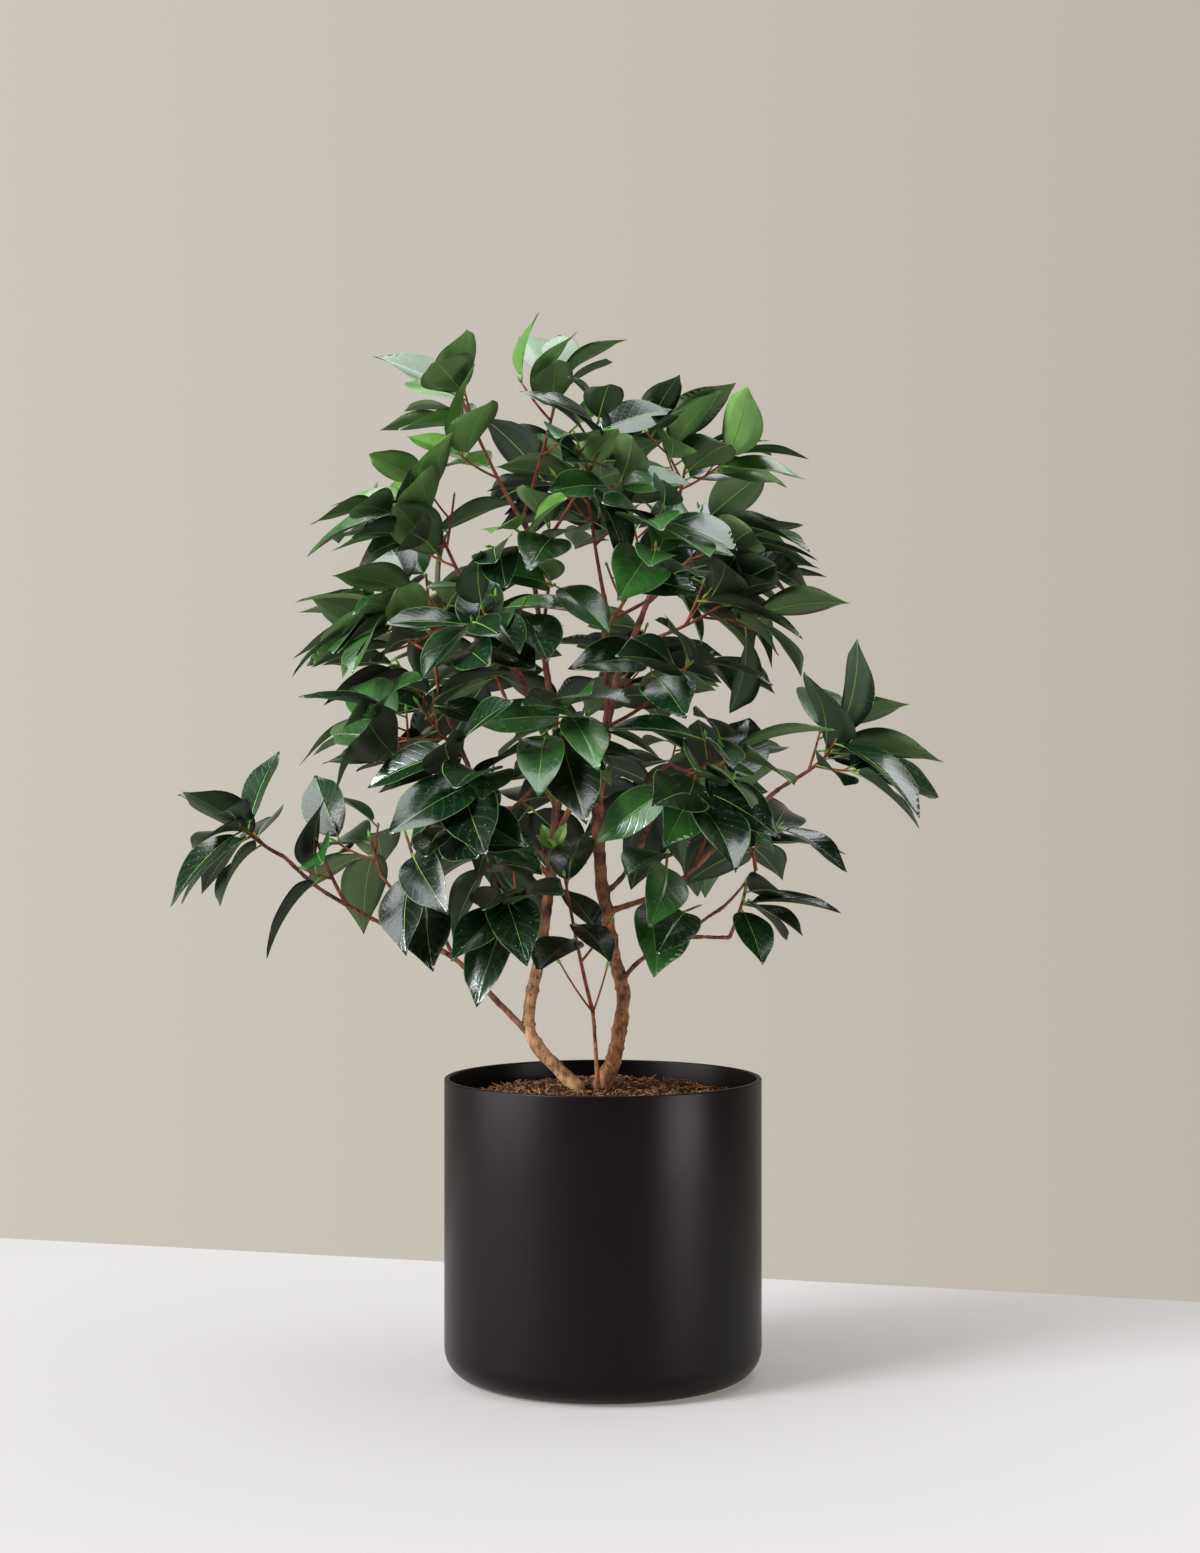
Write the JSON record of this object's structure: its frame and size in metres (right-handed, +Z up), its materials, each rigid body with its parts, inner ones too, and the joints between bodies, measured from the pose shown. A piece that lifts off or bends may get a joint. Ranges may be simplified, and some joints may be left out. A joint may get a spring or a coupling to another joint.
{
  "type": "potted camellia shrub",
  "caption": "Young camellia shrub with bare stems, forking boughs and glossy oval leaves, growing in a plain round dark pot.",
  "frame": {"origin": "middle of the pot's flat underside, where it stands on the floor", "axes": "+Z up along the pot's axis, -Y towards the shrub's front, +X to the right seen from the front"},
  "size_m": [0.6068, 0.449, 0.852],
  "materials": {
    "pot": "satin near-black, moulded",
    "potting_mix": "rough, dark brown, fibrous",
    "bark": "thin tan-grey to red-brown bark",
    "foliage": "glossy deep green leaves on red-brown twigs"
  },
  "bodies": {
    "root": {"pot": "pot", "potting_mix": "potting_mix", "left_stem": "bark", "right_stem": "bark", "middle_stem": "bark", "low_left_bough": "bark", "left_reach": "bark", "left_low_fork": "bark", "left_mid_bough": "bark", "left_up_bough": "bark", "left_leader": "bark", "middle_leader": "bark", "crossing_bough": "bark", "right_leader": "bark", "right_top_bough": "bark", "right_low_bough": "bark", "right_low_fork": "bark", "right_long_bough": "bark", "right_inner_bough": "bark", "back_low_bough": "bark", "back_left_bough": "bark", "back_up_bough": "bark", "foliage_crown_top": "foliage", "foliage_top_left": "foliage", "foliage_top_right": "foliage", "foliage_top_middle": "foliage", "foliage_top_back": "foliage", "foliage_upper_left": "foliage", "foliage_upper_left_back": "foliage", "foliage_upper_right": "foliage", "foliage_upper_right_back": "foliage", "foliage_left_shoulder": "foliage", "foliage_front_shoulder": "foliage", "foliage_upper_heart": "foliage", "foliage_left_waist": "foliage", "foliage_left_side": "foliage", "foliage_left_front": "foliage", "foliage_centre_front": "foliage", "foliage_upper_front": "foliage", "foliage_right_shoulder": "foliage", "foliage_right_front": "foliage", "foliage_right_waist": "foliage", "foliage_right_reach": "foliage", "foliage_right_middle": "foliage", "foliage_low_right": "foliage", "foliage_right_hem": "foliage", "foliage_low_right_front": "foliage", "foliage_low_middle": "foliage", "foliage_low_left_front": "foliage", "foliage_left_tip": "foliage", "foliage_left_reach_side": "foliage", "foliage_left_hem": "foliage", "foliage_left_fork": "foliage", "foliage_back_left": "foliage", "foliage_back_middle": "foliage", "foliage_back_low_left": "foliage", "foliage_back_low": "foliage"}
  },
  "joints": []
}
